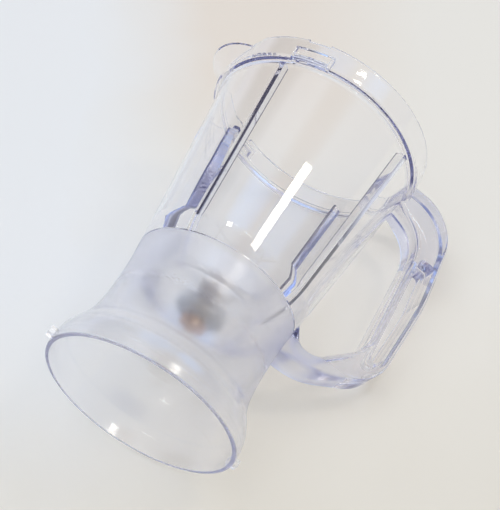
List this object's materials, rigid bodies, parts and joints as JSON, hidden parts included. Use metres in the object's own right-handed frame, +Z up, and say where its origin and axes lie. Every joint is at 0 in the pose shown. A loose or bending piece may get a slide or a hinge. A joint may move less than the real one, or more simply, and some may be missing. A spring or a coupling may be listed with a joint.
{
  "type": "blender jar",
  "caption": "Clear moulded blender jar with a loop handle, pouring spout, inner ribs, a flared frosted skirt that seats on a drive base, and a bladed spindle.",
  "frame": {"origin": "on the jar's axis, in the plane of the base rim", "axes": "+Z up along the jar's axis from base to mouth, +X towards the handle, the spout at -X"},
  "size_m": [0.193, 0.1412, 0.228],
  "materials": {
    "clear_plastic": "clear, with a frosted skirt",
    "steel": "brushed",
    "bronze": "turned",
    "rubber": "matt",
    "dark_plastic": "moulded"
  },
  "bodies": {
    "jar_body": {"jar": "clear_plastic", "bearing_housing": "steel", "housing_gasket": "rubber", "lock_nut": "dark_plastic", "upper_bush": "bronze", "lower_bush": "bronze", "shaft_seal": "rubber"},
    "blade_rotor": {"blade_shaft": "steel", "upper_thrust_washer": "steel", "lower_thrust_washer": "steel", "retaining_ring": "steel", "lower_blade": "steel", "blade_spacer": "steel", "upper_blade": "steel", "blade_nut": "steel", "drive_coupling": "bronze"}
  },
  "joints": [
    {"name": "blade_spin", "type": "hinge", "parent": "jar_body", "child": "blade_rotor", "pos_m": [0, 0, 0.07], "axis": [0, 0, 1], "continuous": true}
  ]
}
